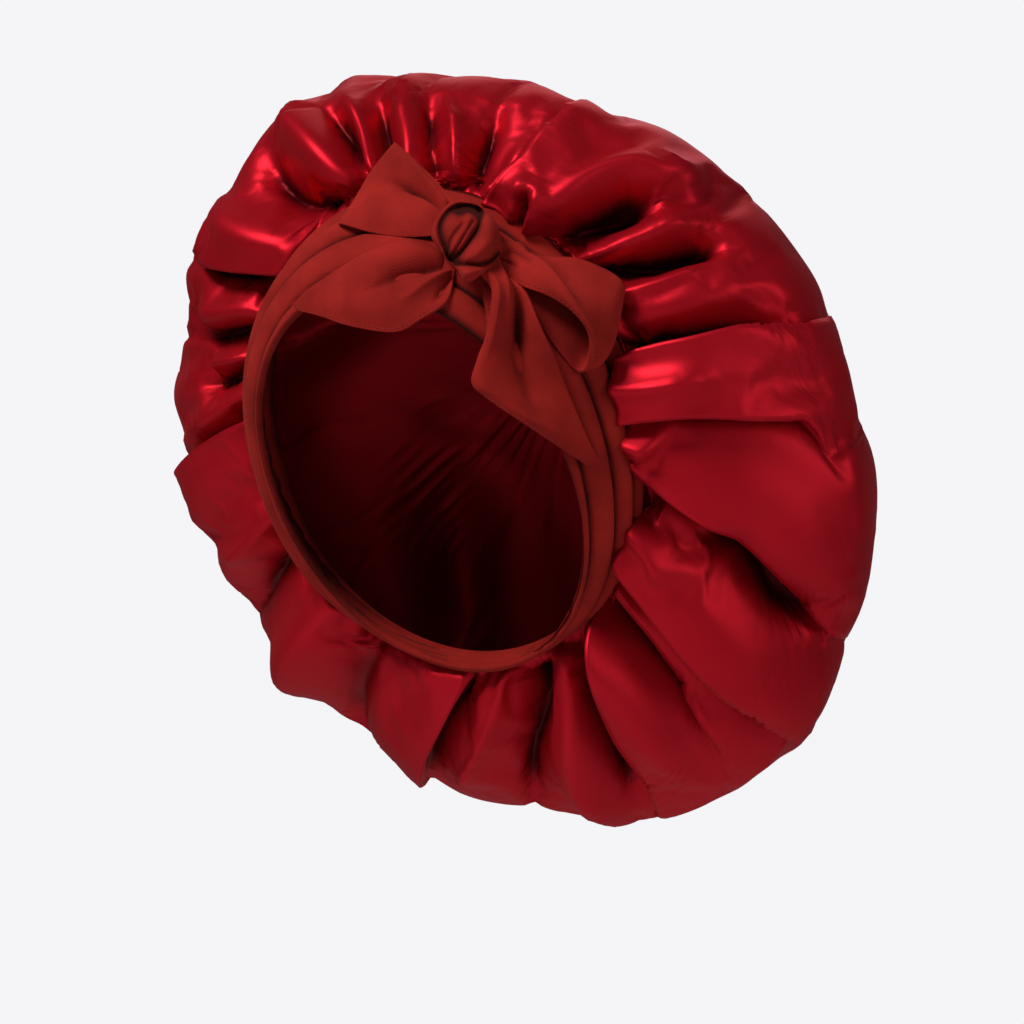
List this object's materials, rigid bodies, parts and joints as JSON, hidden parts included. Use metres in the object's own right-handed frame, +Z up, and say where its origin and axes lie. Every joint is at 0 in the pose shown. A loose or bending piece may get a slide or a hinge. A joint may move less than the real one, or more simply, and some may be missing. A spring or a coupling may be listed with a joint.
{
  "type": "sleep bonnet",
  "caption": "Jumbo sleep bonnet: a full gathered satin crown with pleated jersey band around the face opening, tied in a flat knotted bow above the forehead.",
  "frame": {"origin": "middle of the loop where the band goes round the head", "axes": "+Z up, the face opening looks toward -Y, +X is the wearer's left"},
  "size_m": [0.3417, 0.2727, 0.3364],
  "materials": {
    "satin": "glossy crimson satin",
    "jersey": "matte brick red jersey"
  },
  "bodies": {
    "root": {"crown": "satin", "band": "jersey", "knot": "jersey", "left_loop": "jersey", "right_loop": "jersey", "left_tail": "jersey", "right_tail": "jersey"}
  },
  "joints": []
}
